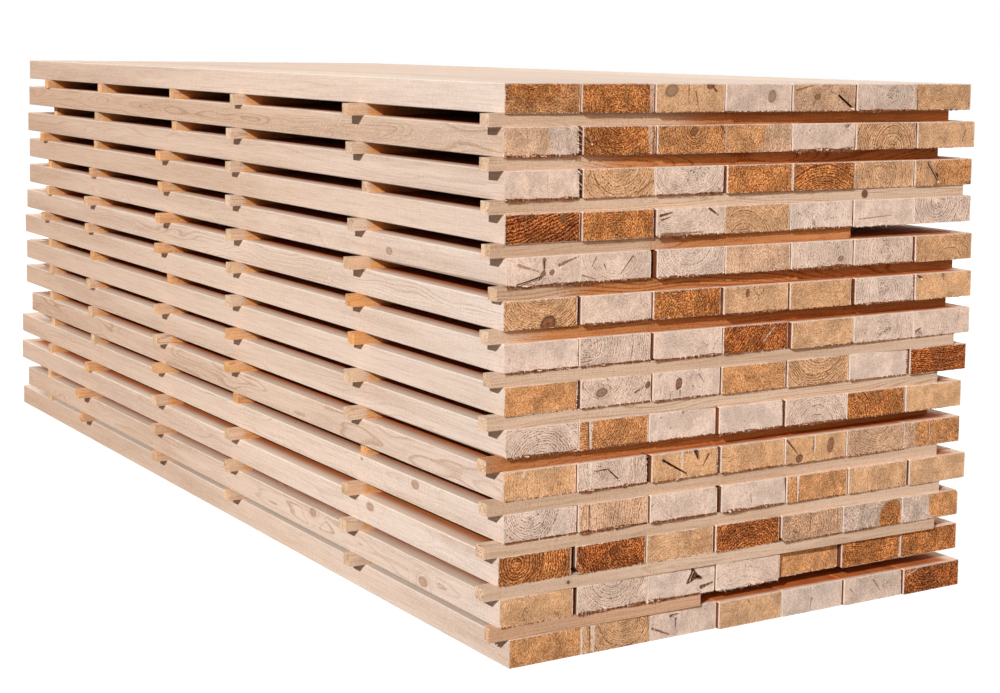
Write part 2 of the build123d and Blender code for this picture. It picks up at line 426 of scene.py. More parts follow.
# The colours of knots in sawn ends, in the sides of boards and in stickers
END_KNOT_TONES = ((0.0, (0.47, 0.33, 0.21)), (0.5, (0.4, 0.2, 0.1)), (1.0, (0.3, 0.085, 0.03)))
END_KNOT_RINGS = (0.13, 0.055, 0.025)
END_KNOT_DARK = (0.085, 0.038, 0.018)
SIDE_KNOT = ((0.55, 0.3, 0.17), (0.34, 0.16, 0.08))
SIDE_KNOT_RIM = (0.22, 0.1, 0.05)
LATH_KNOT_HALO = (0.5, 0.3, 0.17)
LATH_KNOT = (0.11, 0.055, 0.035)


# How strongly the line from one spot to another covers a place, and whether it is a pale
# line. The line is widest where it starts. All is in millimetres.
def marked(flat, name, ragged, broken):
    start = told(flat.tree, name + "_from")
    end = told(flat.tree, name + "_to")
    first = joined(start[0], start[1])
    run = vector("SUBTRACT", joined(end[0], end[1]), first)
    off = vector("SUBTRACT", flat, first)
    share = limited(dot(off, run) / greater(dot(run, run), 0.01))
    nearest = work("ShaderNodeVectorMath", {0: run, "Scale": share}, operation="SCALE")
    far = vector("DISTANCE", off, nearest, "Value") + ragged
    half_width = start[2] * (0.75 - share * 0.45)
    cover = fading(far - half_width, -0.7, 0.7) * broken
    return cover * calc("ABSOLUTE", end[2]), calc("LESS_THAN", end[2], 0.0)


# A knot in a sawn end: brown wood with fine rings of its own, a dark heart and a dark rim
def knotted(colour, across, up, name, ragged, fine):
    spot = told(colour.tree, name)
    stretch, tone = told(colour.tree, name + "_look")[:2]
    off_up = (up - spot[1]) / greater(stretch, 0.1)
    off_across = across - spot[0] - off_up * 0.2
    far = length(joined(off_across, off_up)) + ragged * 1.5
    share = far / greater(spot[2], 0.01)
    inside = fading(share, 0.86, 1.08)
    rim = between(share, 0.56, 0.84) * fading(share, 0.96, 1.14) * (tone * 0.6 + 0.4)
    core = fading(share, 0.12, 0.34)
    rings = between(calc("SINE", far * 2.0), -1.0, 1.0)
    body = blended(rings * 0.25 + fine * 0.3, ramp(tone, END_KNOT_TONES), END_KNOT_RINGS)
    colour = blended(inside * 0.85, colour, body)
    dark = greater(rim, core * inside * tone) * between(fine, 0.38, 0.56, 0.35, 0.9)
    return blended(dark, colour, END_KNOT_DARK)


# A sawn end: how far its rings wander, in millimetres, how fine its grain is, in cells to a
# millimetre, and how dark rings, torn grains, loose dots and patches make it
BROAD_WANDER = 16.0
SMALL_WANDER = 4.5
GRAIN_SCALE = 0.4
FINE_SCALE = 0.46
RING_DARK = 1.3
GRAIN_DARK = 0.8
DOT_DARK = 0.5
PATCH_DARK = 0.15
STAIN = 0.3


# The sawn end of a board or sticker: growth rings, torn pores, knots, splits and saw marks
def end_grain(name, along):
    material, tree = new_material(name)
    place = millimetres(tree)
    here = parted(place)
    level = 1 if along == "X" else 0
    across = here[level]
    tone, ring_strength, own = told(tree, "wood")
    heart_radius, outer_tone, speckle = told(tree, "heart")
    own_place = vector("ADD", place, joined(own, own, own))
    wander = swing(cloud(own_place, 0.018), BROAD_WANDER) + swing(cloud(own_place, 0.13), SMALL_WANDER)
    rings, radius, out = ring_count(place, along, wander, own)
    patches = between(cloud(own_place, 0.07, 3.0, 0.6), 0.38, 0.62)
    # The torn grain runs along the rings
    off = parted(out)
    curved = joined(off[level] * 0.75, radius + own * 7.0, off[2] * 0.75)
    grit = cloud(curved, GRAIN_SCALE, 2.0, 0.62)
    grains = between(grit, 0.41, 0.59)
    fine = cloud(own_place, FINE_SCALE, 2.0, 0.6)
    dots = between(fine, 0.56, 0.63)

    # Past the heart the wood takes its outer tone
    outside = between(radius - heart_radius, -5.0, 5.0)
    tone = tone + outside * (outer_tone - tone)
    light, middle, dark = (ramp(tone, [(wood[0], wood[k]) for wood in WOODS]) for k in (1, 2, 3))
    # Rings, broken by the torn grain, make a place darker, and so does loose speckle
    ringed = late_wood(rings, own) * ring_strength * between(grains, 0.0, 1.0, 0.5, 1.3)
    share = ringed * RING_DARK + grains * speckle * GRAIN_DARK
    share = limited(share + dots * speckle * DOT_DARK + swing(patches, PATCH_DARK))
    colour = blended(limited(share * 2.0), light, middle)
    colour = blended(limited(share * 2.0 - 1.0), colour, dark)
    # Broad stains, where the heart shows more or less
    stain = between(cloud(own_place, 0.026), 0.34, 0.66, -STAIN, STAIN) * speckle + 1.0
    # The ends of the outer rows are a little darker
    if along == "Y":
        stain = stain * told_one(tree, "row_end_tone")
    colour = blended(1.0, colour, joined(stain, stain, stain), "MULTIPLY")
    # Fine splits that run out from the pith
    fan = joined(calc("ARCTAN2", off[2], off[level]) * 6.0, radius * 0.02, own)
    check = calc("ABSOLUTE", cloud(fan, 1.0, 1.0) - 0.5)
    check = fading(check * greater(radius, 8.0), 0.1, 0.8)
    where = between(cloud(vector("ADD", own_place, (37.0, 11.0, 5.0)), 0.03), 0.54, 0.6)
    check = check * (where * grains)
    colour = blended(check * 0.6, colour, DARK_SPLIT)

    if along == "Y":
        ragged = swing(grit, 4.0)
        flat = joined(across, here[2])
        broken = between(cloud(own_place, 0.22), 0.28, 0.44)
        for letter in "ab":
            colour = knotted(colour, across, here[2], "knot_" + letter, ragged, fine)
        for letter in "abcd":
            cover, is_pale = marked(flat, "mark_" + letter, ragged, broken)
            colour = blended(limited(cover * 1.4), colour, blended(is_pale, SPLIT_RIM, CREAM))
            colour = blended(limited(cover * 2.0 - 0.8), colour, blended(is_pale, DARK_SPLIT, CREAM))
        # Pale torn fibre stands up along the four edges, and is painted lighter as a highlight where it
        # catches the light
        left, right, bottom = told(tree, "span")
        height = here[2] - bottom
        edge = lesser(across - left, right - across)
        edge = lesser(edge, lesser(height + 0.9, BOARD_THICKNESS * MM - height))
        rim = fading(edge + ragged * 0.7, 1.0, 2.2) * between(patches, 0.0, 0.7, 0.45, 0.85)
        colour = blended(rim, colour, CREAM)
    # The saw leaves fine level marks across the end
    marks = cloud(vector("MULTIPLY", place, (0.3, 0.3, 1.5)), 0.45)
    height = fine * 0.8 + marks * 0.4 - share * 0.8 - grains * (speckle - 0.4) - check
    finish_material(tree, colour, height, END_RELIEF)
    return material


# Painted shade: how the long left faces darken from the near end to the far end, as the
# light falls off, and over what length
PAINTED_FALLOFF_SHADE = ((0.0, (1.0, 0.985, 0.97)), (0.35, (1.0, 0.93, 0.86)), (1.0, (0.8, 0.67, 0.57)))
FALLOFF_FROM = -1300.0
FALLOFF_TO = 1300.0


# A long face: how far its rings wander and swirl, in millimetres, how far a knot pushes
# them, and how dark ring lines, fibres, broad bands, fuzz and saw marks are
FACE_WANDER = 60.0
FACE_SWIRL = 22.0
KNOT_PUSH = 26.0
LINE_DARK = 1.15
FIBRE_DARK = 0.28
BAND_DARK = 0.34
FUZZ_DARK = 0.24
SAW_DARK = 0.14

# How much sooner wood is fresh, and darkened as painted shade, behind the ends, and over
# how many millimetres to either side a front sticker turns fresh and into its painted shade
SOONER = 2.5
FRESH_AND_SHADE_FADE = 70.0


# The long sawn faces: pale weathered wood outside, fresh orange wood inside the stack. Inside
# the gaps the wood near the sides is also paled as painted light and the wood deeper in is
# darkened as painted shade, and between the boards all but the first few millimetres is
# painted shade. The wood turns from one to the other between two depths, in millimetres
# behind the sides.
def sawn_face(name, along, weathered, fresh, depths):
    def turned(lengthwise, across, up):
        return (lengthwise, across, up) if along == "X" else (across, lengthwise, up)

    def stretched(place, *sizes):
        return vector("MULTIPLY", place, turned(*sizes))

    material, tree = new_material(name)
    place = millimetres(tree)
    here = parted(place)
    shift = told(tree, "wood")[2] * 977.0
    own_place = vector("ADD", place, joined(*turned(shift, 0.0, 0.0)))
    lengthwise = stretched(own_place, 0.06, 1, 1)
    fuzz = cloud(own_place, 0.33, 4.0, 0.7)
    ragged = swing(fuzz, 6.0)
    swirl = cloud(stretched(own_place, 0.2, 1, 1), 0.02, 1.0)
    wander = swing(cloud(lengthwise, 0.011), FACE_WANDER) + swing(swirl, FACE_SWIRL)
    knots = []
    rims = []
    if along == "Y":
        # The grain flows round each knot
        for letter in "ab":
            back, up, size = told(tree, "side_" + letter)
            off = joined(here[1] - back, here[2] - up)
            far = length(vector("MULTIPLY", off, (0.55, 1, 1)))
            wander = wander + fading(far, 2.0, 34.0, KNOT_PUSH)
            past = far + ragged - size
            knot = fading(past, -1.2, 1.2)
            real = calc("GREATER_THAN", size, 0.5)
            knots.append(knot * real)
            rims.append(knot * between(past, -3.0, -0.5) * real)
    rings = ring_count(place, along, wander, shift)[0]
    late = late_wood(rings * 1.5, shift)
    fibre = cloud(stretched(own_place, 0.02, 1, 1), 0.42, 3.0, 0.65)
    broad = cloud(lengthwise, 0.02)
    marks = cloud(stretched(place, 1, 0.1, 0.12), 0.26, 2.0, 0.6)
    lines = late * late * between(fuzz, 0.36, 0.56, 0.25, 1.2)
    share = lines * (told_one(tree, "figure") * LINE_DARK)
    share = share + between(fibre, 0.42, 0.66, 0.0, FIBRE_DARK)
    share = share + between(broad, 0.4, 0.66, 0.0, BAND_DARK)
    share = share + between(fuzz, 0.42, 0.62, 0.0, FUZZ_DARK)
    share = limited(share + between(marks, 0.54, 0.76, 0.0, SAW_DARK))
    outer = blended(share, *weathered)
    inner = blended(share, *fresh)
    if depths:
        left, right, front = told(tree, "stack_edge")
        deep = lesser(here[0] - left, right - here[0])
        if along == "Y":
            # Behind the sawn ends the fresh wood, darkened as painted shade, begins much sooner than
            # behind the sides
            deep = lesser(deep, (here[1] - front) * SOONER)
            # At the far end the wood is weathered past the end of the row above
            deep = lesser(deep, told_one(tree, "open_back") - here[1])
        inside = between(deep + ragged, *depths)
        if along == "X":
            inside = greater(inside, told_one(tree, "warmth"))
        colour = blended(inside, outer, inner)
    elif along == "X":
        knot_across, knot_up, size = told(tree, "lath_knot")
        far = length(joined(here[0] - knot_across, here[2] - knot_up)) + ragged * 0.5 - size
        # The front sticker turns to fresh wood darkened as painted shade
        past = here[0] - told_one(tree, "fresh_and_shade_from") + ragged * 8.0
        fresh_and_shaded = greater(between(past, -FRESH_AND_SHADE_FADE, FRESH_AND_SHADE_FADE), told_one(tree, "warmth"))
        colour = blended(fresh_and_shaded, outer, inner)
        colour = blended(fading(far, -1.0, 5.0, 0.5), colour, LATH_KNOT_HALO)
        colour = blended(fading(far, -1.2, 0.8, 0.9), colour, LATH_KNOT)
    else:
        colour = blended(told_one(tree, "warmth"), outer, inner)
        # Painted shade: the face darkens towards the far end, where the light falls off
        back = work("ShaderNodeMapRange", {"Value": here[1], "From Min": FALLOFF_FROM, "From Max": FALLOFF_TO})
        colour = blended(1.0, colour, ramp(back, PAINTED_FALLOFF_SHADE), "MULTIPLY")
    if along == "Y":
        tint = blended(between(fuzz, 0.35, 0.65), *SIDE_KNOT)
        colour = blended(greater(*knots) * 0.7, colour, tint)
        colour = blended(greater(*rims) * 0.3, colour, SIDE_KNOT_RIM)
        if not depths:
            # Painted highlight: the fuzz on the long edges is painted pale where it catches the light
            height = here[2] - told(tree, "span")[2]
            edge = lesser(height, BOARD_THICKNESS * MM - height)
            colour = blended(fading(edge + ragged, 0.8, 3.2, 0.35), colour, CREAM)
            # Pale flecks where the saw left the fibre standing
            fleck = cloud(vector("MULTIPLY", own_place, (1, 0.4, 1)), 0.42, 2.0, 0.6)
            fleck = between(fleck, 0.55, 0.68) * between(broad, 0.4, 0.6)
            colour = blended(fleck * 0.32, colour, CREAM)
    finish_material(tree, colour, marks * 0.6 + fuzz * 1.1 + fibre * 0.5, FACE_RELIEF)
    return material


# The colours of the long faces and the torn fibres, each as (pale, dark)
SIDE_WOOD = ((0.92, 0.785, 0.685), (0.6, 0.415, 0.3))
TAN_SIDE_WOOD = ((0.8, 0.6, 0.455), (0.49, 0.295, 0.18))
# Inside the gaps the edge wood is paled as painted light where the sun reaches in, and the inside wood is
# fresh wood darkened and reddened as painted shade deeper in
EDGE_WOOD_PAINTED_LIGHT = ((0.99, 0.8, 0.63), (0.8, 0.53, 0.35))
INSIDE_WOOD_PAINTED_SHADE = ((0.68, 0.19, 0.04), (0.42, 0.075, 0.014))
RIM_WOOD = ((0.93, 0.8, 0.67), (0.8, 0.62, 0.47))
# Painted shade: the dark wood deeper between the boards and under them
PAINTED_SHADE_WOOD = ((0.2, 0.055, 0.016), (0.09, 0.022, 0.006))
LATH_WOOD = ((0.76, 0.6, 0.465), (0.48, 0.32, 0.2))
FRESH_LATH = ((0.82, 0.43, 0.16), (0.52, 0.19, 0.05))
# Fresh sticker wood darkened as painted shade, for the front stickers
FRESH_LATH_PAINTED_SHADE = ((0.62, 0.29, 0.11), (0.29, 0.09, 0.023))
PALE_FIBRE = ((0.97, 0.86, 0.76), (0.8, 0.6, 0.46))
# Painted shadow: the dark fibres stand for the shadow under the torn ends
PAINTED_SHADOW_FIBRE = ((0.3, 0.12, 0.05), (0.11, 0.036, 0.012))

board_face = sawn_face("weathered board face", "Y", SIDE_WOOD, TAN_SIDE_WOOD, None)
inside_face = sawn_face("board face inside the stack", "Y", EDGE_WOOD_PAINTED_LIGHT, INSIDE_WOOD_PAINTED_SHADE, (10.0, 42.0))
between_face_painted_shade = sawn_face("board face between boards", "Y", RIM_WOOD, PAINTED_SHADE_WOOD, (2.0, 12.0))
board_end = end_grain("sawn board end", "Y")
lath_face = sawn_face("sticker face", "X", LATH_WOOD, FRESH_LATH, (-2.0, 20.0))
front_lath_face = sawn_face("front sticker face", "X", LATH_WOOD, FRESH_LATH_PAINTED_SHADE, None)
lath_end = end_grain("sticker end", "X")


def fibre_material(name, pale, dark):
    material, tree = new_material(name)
    patch = cloud(object_place(tree), 160.0)
    colour = ramp(patch, ((0.35, dark), (0.6, pale)))
    finish_material(tree, colour, patch, FIBRE_RELIEF)
    return material


torn_wood = fibre_material("torn fibres", *PALE_FIBRE)
# Dark fibres, as painted shadow under the ends
painted_shadow_fibres = fibre_material("dark torn fibres", *PAINTED_SHADOW_FIBRE)


def coated(thing, materials):
    thing.data.materials.clear()
    for material in materials:
        thing.data.materials.append(material)


def placed(name, data):
    thing = bpy.data.objects.new(name, data)
    bpy.context.scene.collection.objects.link(thing)
    return thing


def editing(on):
    bpy.ops.object.mode_set(mode="EDIT" if on else "OBJECT")


# Cuts straight through all that shows in edit mode
def slice_across(axis, place):
    bpy.ops.mesh.select_all(action="SELECT")
    way = [float(k == axis) for k in range(3)]
    bpy.ops.mesh.bisect(plane_co=[place * part for part in way], plane_no=way)


# A copy of a row or a gap's pieces, joined up from loose triangles, ready for shaping
def taken_from(node, name):
    source = frame["nodes"][node]
    thing = source.copy()
    thing.data = source.data.copy()
    thing.name = name
    thing.data.name = name
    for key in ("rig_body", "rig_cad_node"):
        if key in thing:
            del thing[key]
    thing.parent = None
    bpy.context.scene.collection.objects.link(thing)
    bpy.ops.object.select_all(action="DESELECT")
    thing.select_set(True)
    bpy.context.view_layer.objects.active = thing
    editing(True)
    bpy.ops.mesh.select_all(action="SELECT")
    bpy.ops.mesh.remove_doubles(threshold=0.00002)
    editing(False)
    return thing


# Lowest and highest corner of each loose piece, with its vertices
def loose_boxes(thing):
    parent = list(range(len(thing.data.vertices)))

    def root(i):
        while parent[i] != i:
            parent[i] = parent[parent[i]]
            i = parent[i]
        return i

    for edge in thing.data.edges:
        a, b = root(edge.vertices[0]), root(edge.vertices[1])
        if a != b:
            parent[a] = b
    groups = {}
    for i in range(len(parent)):
        groups.setdefault(root(i), []).append(i)
    boxes = []
    for members in groups.values():
        spots = [thing.data.vertices[i].co for i in members]
        low = Vector([min(s[k] for s in spots) for k in range(3)])
        high = Vector([max(s[k] for s in spots) for k in range(3)])
        boxes.append((low, high, members))
    return boxes


# Where the boards are cut across behind FRONT, how far behind it a near end can stand, and
# the cells that the ends are cut into: how wide they are and the heights of the cuts
CUTS_BEHIND_FRONT = (0.02, 0.04, 0.09)
NEAR_END_DEPTH = 0.0195
NEAR_CELL = 0.0045
NEAR_LEVELS = (0.0035, 0.009, 0.018, 0.027, 0.036, 0.043, 0.0475)
FAR_CELL = 0.018
FAR_LEVELS = (0.004, 0.018, 0.032, 0.046)


# Cuts the near ends, or the far ones, into small cells, so that their edges can be torn
def cut_ends_finely(thing, boxes, near):
    step, levels = (NEAR_CELL, NEAR_LEVELS) if near else (FAR_CELL, FAR_LEVELS)
    for face in thing.data.polygons:
        face.select = face.center.y < FRONT + NEAR_END_DEPTH if near else face.normal.y > 0.9
    editing(True)
    bpy.ops.mesh.select_mode(type="FACE")
    bpy.ops.mesh.hide(unselected=True)
    for low, high, members in boxes:
        count = round((high.x - low.x) / step)
        for i in range(1, count):
            slice_across(0, low.x + (high.x - low.x) * i / count)
    for level in levels:
        slice_across(2, boxes[0][0].z + level)
    bpy.ops.mesh.reveal(select=False)
    bpy.ops.mesh.select_all(action="DESELECT")
    editing(False)


# Notes the facts of one loose piece for each of its vertices
def note(thing, notes, facts, members):
    for name, value in facts.items():
        values = notes.setdefault(name, [value] * len(thing.data.vertices))
        for i in members:
            values[i] = value


def tell(thing, notes):
    for name, values in notes.items():
        kind = "FLOAT" if isinstance(values[0], float) else "FLOAT_VECTOR"
        layer = thing.data.attributes.new(name, kind, "POINT")
        for i, value in enumerate(values):
            if kind == "FLOAT":
                layer.data[i].value = value
            else:
                layer.data[i].vector = value


# How each wood looks: its tone, how strongly it is speckled, and how wide its rings are in
# millimetres, bold rings most. The ends of the outer rows are a little darker.
WOOD_TONE = {"P": 0.03, "Q": 0.28, "T": 0.48, "U": 0.62, "O": 0.78, "R": 0.97}
SPECKLE = {"P": 0.38, "Q": 0.54, "T": 0.48, "U": 0.62, "O": 0.8, "R": 0.86}
RING_WIDTH = {"P": 4.2, "Q": 4.2, "T": 4.2, "U": 3.8, "O": 3.4, "R": 4.4}
BOLD_RINGS = 0.9
BOLD_WIDENING = 1.4
ROW_END_TONE = {1: 0.88, 2: 0.95, 13: 0.98, 14: 0.9}

# A place in millimetres that is out of reach of the stack, for a knot or mark that isn't there
FAR_OFF = 10000.0
NOWHERE = Vector((FAR_OFF, FAR_OFF, 0))


def end_of(row, board):
    wood, rest = ENDS[row - 1].split()[board - 1].split(":")
    parts = rest.split(",")
    across, up, strength = (float(part) for part in parts[:3])
    radius, outer = (float(parts[3]), parts[4]) if len(parts) > 3 else (FAR_OFF, wood)
    return wood, across, up, strength / 9.0, radius, outer


# What one board's wood is told: its pith, rings, heart, edges, knots and marks
def wood_of(row, board, low, high):
    def spot(across, up, third):
        x = low.x + across * (high.x - low.x)
        return Vector((x * MM, (row_base(row) + up * BOARD_THICKNESS) * MM, third))

    luck = draws("board", row, board)
    wood, across, up, strength, radius, outer = end_of(row, board)
    widening = BOLD_WIDENING if strength > BOLD_RINGS else 1.0
    ring_width = RING_WIDTH[wood] * luck.uniform(0.85, 1.15) * widening
    tone = WOOD_TONE[wood] + luck.uniform(-0.03, 0.03)
    facts = {
        "pith": spot(across, up, ring_width),
        "wood": Vector((tone, strength, luck.uniform(0, 400))),
        "heart": Vector((radius, tone if outer == wood else WOOD_TONE[outer], SPECKLE[wood])),
        "span": Vector((low.x * MM, high.x * MM, row_base(row) * MM)),
        "row_end_tone": ROW_END_TONE.get(row, 1.0),
        "figure": SIDE_FIGURE[row - 1] / 9.0 if board == 1 else luck.uniform(0.1, 0.8),
        "warmth": SIDE_TAN[row - 1] / 9.0 if board == 1 else luck.uniform(0.0, 0.6),
    }
    for letter in "abcd":
        facts["mark_" + letter + "_from"] = NOWHERE
        facts["mark_" + letter + "_to"] = NOWHERE
    for letter in "ab":
        facts["knot_" + letter] = NOWHERE
        facts["knot_" + letter + "_look"] = Vector((1, 0, 0))
        facts["side_" + letter] = NOWHERE
    for letter, (u, v, to_u, to_v, width, dark) in zip("abcd", END_MARKS.get((row, board), ())):
        facts["mark_" + letter + "_from"] = spot(u, v, width)
        facts["mark_" + letter + "_to"] = spot(to_u, to_v, dark)
    for letter, (u, v, size, stretch, shade) in zip("ab", END_KNOTS.get((row, board), ())):
        facts["knot_" + letter] = spot(u, v, size)
        facts["knot_" + letter + "_look"] = Vector((stretch, shade, 0))
    for letter, (back, rise, size) in zip("ab", SIDE_KNOTS.get(row, ()) if board == 1 else ()):
        facts["side_" + letter] = Vector((FRONT * MM + back, row_base(row) * MM + rise, size))
    return facts


# Where the near end of a board stands at a place across it, as it is a little out of square
def end_at(a, b, x):
    return a.y + END_SKEW * (x - a.x) / (b.x - a.x)


# How many rags and clumps of torn fibre there are to a metre
RAGS = 210
CLUMPS_ACROSS = 38
CLUMPS_UP = 20


# How strongly the fibres clump at a place, which is below zero between the clumps
def clump_at(row, x, z):
    return noise.noise(Vector((x * CLUMPS_ACROSS, row * 7.7, z * CLUMPS_UP))) + 0.3


# How torn the lower and the right-hand edge of an end are, from 0 to 9
def torn(row, number):
    return int(TORN_BELOW[row - 1][number - 1]), int(TORN_RIGHT[row - 1][number - 1])


# How near to the edges of an end, and to the end itself, its cells fray, and how far they
# keep inside the box of the stack
LOWER_BAND = 0.003
UPPER_BAND = 0.0026
RIGHT_BAND = 0.004
END_BAND = 0.0006
BOX_MARGIN = 0.0003


# Frays the ends of one board, most along the lower edge and the right-hand edge
def fray(thing, row, number, a, b, members):
    below, beside = (tear / 9.0 for tear in torn(row, number))
    for i in members:
        spot = thing.data.vertices[i].co
        at_front = spot.y < end_at(a, b, spot.x) + END_BAND
        at_back = spot.y > b.y - END_BAND
        if not (at_front or at_back):
            continue
        ragged = noise.noise(Vector((spot.x * RAGS, row * 3.1, spot.z * RAGS)))
        clump = max(0.0, clump_at(row, spot.x, spot.z))
        inward = 0.0003 + 0.0006 * abs(ragged)
        if spot.z < a.z + LOWER_BAND:
            spot.z += max(0.0, below * clump * (0.0045 + 0.009 * ragged))
            inward -= below * clump * max(0.0, 0.0035 - 0.01 * ragged)
        if spot.z > b.z - UPPER_BAND:
            inward += 0.0004 * abs(ragged)
        if spot.x > b.x - RIGHT_BAND:
            spot.x -= max(0.0, beside * clump * (0.0035 + 0.008 * ragged))
            inward += beside * clump * 0.004
        if at_front:
            spot.y = max(spot.y + inward, cad_box[0][1] + BOX_MARGIN)
        else:
            spot.y = min(spot.y - inward, cad_box[1][1] - BOX_MARGIN)


# The materials of a row of boards, and how near to an outer side a face belongs to it
BOARD_MATERIALS = (board_face, board_end, inside_face, between_face_painted_shade)
SIDE_BAND = 0.0016


# One row of boards: the end edges are cut finely and torn, and each board is told its wood
def dress_boards(row, above):
    node = f"boards_row_{row:02d}"
    thing = taken_from(node, f"sawn_boards_{row:02d}")
    boxes = loose_boxes(thing)
    editing(True)
    for behind in CUTS_BEHIND_FRONT:
        slice_across(1, FRONT + behind)
    editing(False)
    cut_ends_finely(thing, boxes, near=True)
    cut_ends_finely(thing, boxes, near=False)

    boxes = sorted(loose_boxes(thing), key=lambda box: box[0].x)
    notes = {}
    left, right = boxes[0][0].x, boxes[-1][1].x
    for number, (a, b, members) in enumerate(boxes, 1):
        facts = wood_of(row, number, a, b)
        facts["stack_edge"] = Vector((left * MM, right * MM, a.y * MM))
        facts["open_back"] = min([b.y] + [high.y for low, high in above]) * MM
        note(thing, notes, facts, members)
        fray(thing, row, number, a, b, members)
    tell(thing, notes)
    coated(thing, BOARD_MATERIALS)
    top = row_base(row) + BOARD_THICKNESS
    for face in thing.data.polygons:
        outer_side = face.center.x < left + SIDE_BAND or face.center.x > right - SIDE_BAND
        open_top = row == 1 and face.center.z > top - SIDE_BAND
        if abs(face.normal.y) > 0.6:
            shown = board_end
        elif outer_side or open_top:
            shown = board_face
        elif face.normal.z > 0.5:
            # Tops inside the gaps: painted light near the sides, painted shade deeper in
            shown = inside_face
        else:
            # Flanks between boards and undersides: painted shade past the first few millimetres
            shown = between_face_painted_shade
        face.material_index = BOARD_MATERIALS.index(shown)
        face.use_smooth = False
    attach(thing, "root")
    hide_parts(node)
    return [(a, b) for a, b, members in boxes]


LATH_MATERIALS = (lath_face, lath_end, front_lath_face)


# One gap's stickers, each told its own wood and how weathered its end is. It returns the
# two ends of the front sticker, as (across, how far forward).
def dress_stickers(gap, row_below):
    node = f"stickers_gap_{gap:02d}"
    thing = taken_from(node, f"laid_stickers_{gap:02d}")
    coated(thing, LATH_MATERIALS)
    boxes = sorted(loose_boxes(thing), key=lambda box: box[0].y)
    left, right = row_below
    notes = {}
    for number, (a, b, members) in enumerate(boxes, 1):
        luck = draws("sticker", gap, number)
        warm = int(STICKER_WARMTH[gap - 1][number - 1]) / 9.0
        tone = 0.22 + 0.55 * warm
        note(thing, notes, {
            "pith": Vector((
                (a.y + luck.uniform(-1.5, 2.5) * (b.y - a.y)) * MM,
                (a.z + luck.uniform(-2.0, 3.0) * STICKER_THICKNESS) * MM,
                luck.uniform(3.0, 5.0),
            )),
            "wood": Vector((tone, luck.uniform(0.1, 0.4), luck.uniform(0, 400))),
            "heart": Vector((FAR_OFF, tone, 0.35)),
            "stack_edge": Vector((left * MM, FAR_OFF, FRONT * MM)),
            "figure": luck.uniform(0.3, 0.9),
            "warmth": max(0.0, 1.15 * warm - 0.2),
            "lath_knot": Vector(LATH_KNOTS.get(gap, NOWHERE)),
            "fresh_and_shade_from": (left + FRESH_AND_SHADE_FROM[gap - 1] * (right - left)) * MM,
        }, members)
    tell(thing, notes)
    low, high, members = boxes[0]
    first = [thing.data.vertices[i].co.copy() for i in members]
    ends = [(x, min(p.y for p in first if abs(p.x - x) < 0.004)) for x in (low.x, high.x)]
    for face in thing.data.polygons:
        if abs(face.normal.x) > 0.7:
            shown = lath_end
        else:
            shown = front_lath_face if face.center.y < high.y + 0.001 else lath_face
        face.material_index = LATH_MATERIALS.index(shown)
    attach(thing, "root")
    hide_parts(node)
    return ends


# One torn fibre, modelled once: a thin three-sided sliver that bends towards its tip
def one_fibre():
    bpy.ops.object.select_all(action="DESELECT")
    bpy.ops.mesh.primitive_cone_add(vertices=3, radius1=0.5, radius2=0.1, depth=1.0, location=(0, 0, 0.5))
    fibre = bpy.context.object
    editing(True)
    bpy.ops.mesh.select_all(action="SELECT")
    bpy.ops.mesh.bisect(plane_co=(0, 0, 0.45), plane_no=(0, 0, 1))
    editing(False)
    for v in fibre.data.vertices:
        v.co.y += 0.5 * v.co.z ** 2
    return fibre


# How far a sticker may stand proud of the ends above it and still hold the dark fibres that
# paint the shadow under the ends, how deep the fibres are rooted in an end, and how wide a
# dark and a pale one are
STICKER_PROUD = 0.004
ROOT_DEPTH = 0.0016
SHADOW_FIBRE_WIDTH = 0.0026
PALE_WIDTHS = (0.0009, 0.0021)


# Painted shadow: dark fibres under one board, in front of its sticker, that stand for the
# shadow under its end, as (root, length, direction, width)
def dark_fibre_places(row, number, a, b, luck, sticker_front):
    pick = luck.uniform
    below = torn(row, number)[0]
    places = []
    if not sticker_front:
        return places
    (left, left_front), (right, right_front) = sticker_front
    for _ in range(20 + 34 * below):
        x = pick(a.x + 0.002, b.x - 0.002)
        end_here = end_at(a, b, x)
        lath_here = left_front + (right_front - left_front) * (x - left) / (right - left)
        if x > right or lath_here < end_here - STICKER_PROUD:
            continue
        clump = 0.7 + max(0.0, clump_at(row, x, a.z))
        long = (0.0021 + 0.00045 * below) * clump * pick(0.55, 1.25)
        root = Vector((x, min(end_here, lath_here) - 0.0004, a.z + 0.0006))
        way = Vector((pick(-0.4, 0.4), pick(-0.1, 0.1), -1.0))
        places.append((root, long, way, SHADOW_FIBRE_WIDTH))
    return places


